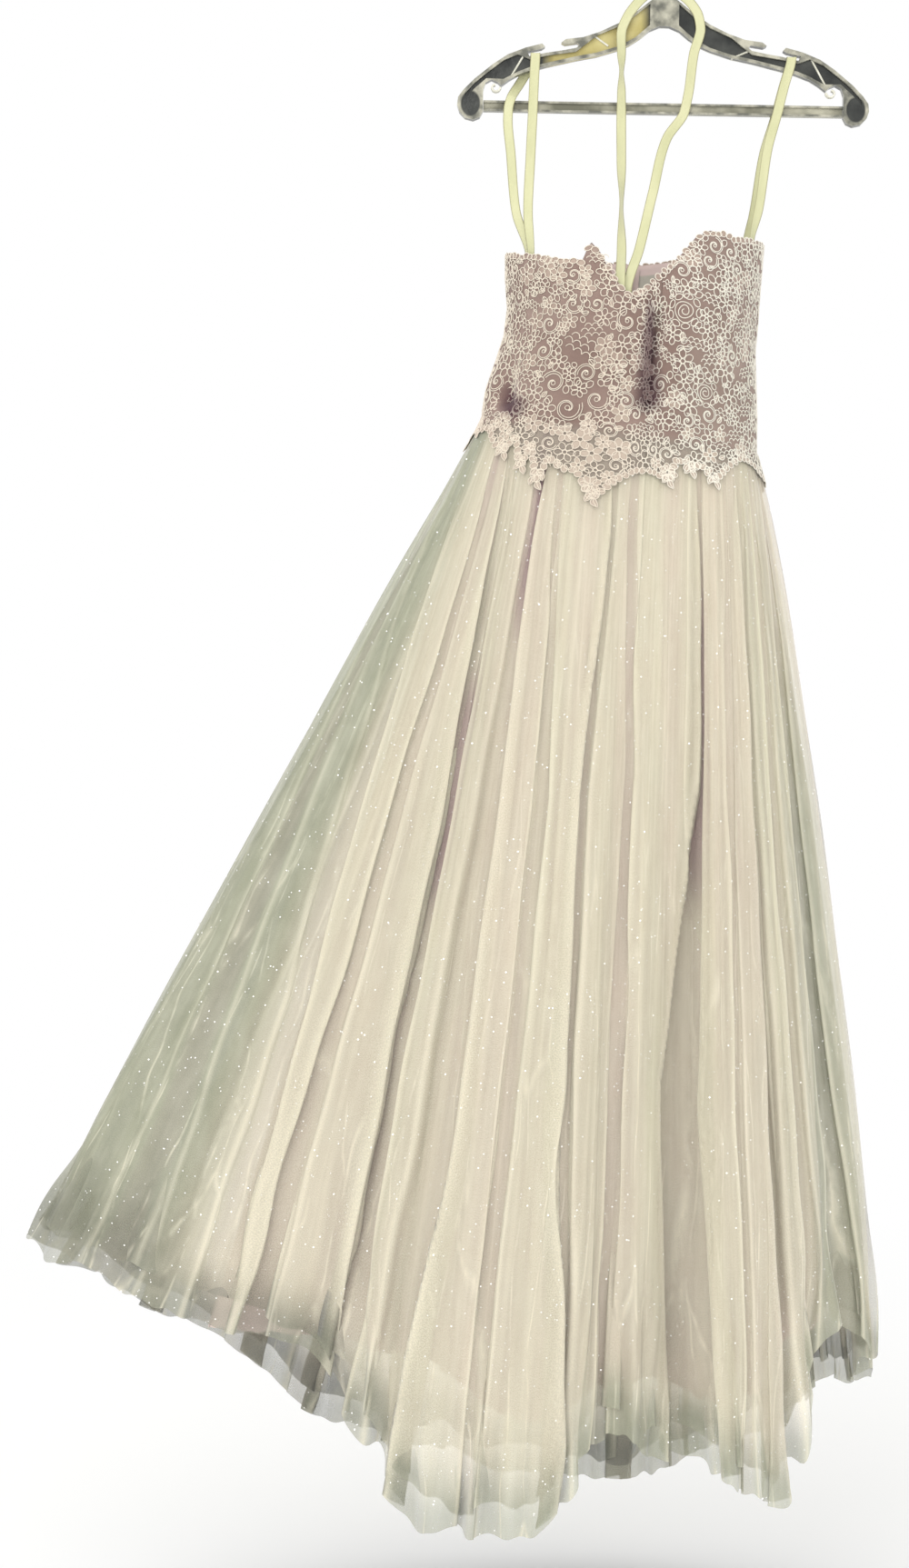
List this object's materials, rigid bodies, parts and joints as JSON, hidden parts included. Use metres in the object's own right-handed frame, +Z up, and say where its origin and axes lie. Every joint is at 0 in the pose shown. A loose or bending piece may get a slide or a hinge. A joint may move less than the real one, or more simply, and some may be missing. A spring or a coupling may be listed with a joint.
{
  "type": "strapless evening gown on a hanger",
  "caption": "Strapless evening gown with a corded lace bodice and a gathered tulle skirt over a lining, hung by ribbon loops on a moulded hanger.",
  "frame": {"origin": "the seat of the hanger's hook, the top of the inside of its round, where it rests on a rail", "axes": "+Z up, from the hem to the hook; +Y towards the back of the gown; +X to the right as seen from the front"},
  "size_m": [0.8914, 0.465, 1.6585],
  "materials": {
    "lace": "corded lace over a dusky base, matt with a satin cord",
    "tulle": "sheer glitter tulle",
    "lining": "soft satin",
    "ribbon": "satin ribbon",
    "zip": "woven tape with a fine coil",
    "hanger": "clear smoky moulded plastic, glossy",
    "wire": "polished wire"
  },
  "bodies": {
    "root": {"bodice_front_left": "lace", "bodice_front_right": "lace", "bodice_back_left": "lace", "bodice_back_right": "lace", "back_zip": "zip", "skirt_tulle_front": "tulle", "skirt_tulle_back": "tulle", "skirt_lining_front": "lining", "skirt_lining_back": "lining", "loop_left": "ribbon", "loop_centre": "ribbon", "loop_right": "ribbon", "hanger_body": "hanger", "hanger_bar": "hanger", "hanger_hook": "wire"}
  },
  "joints": []
}
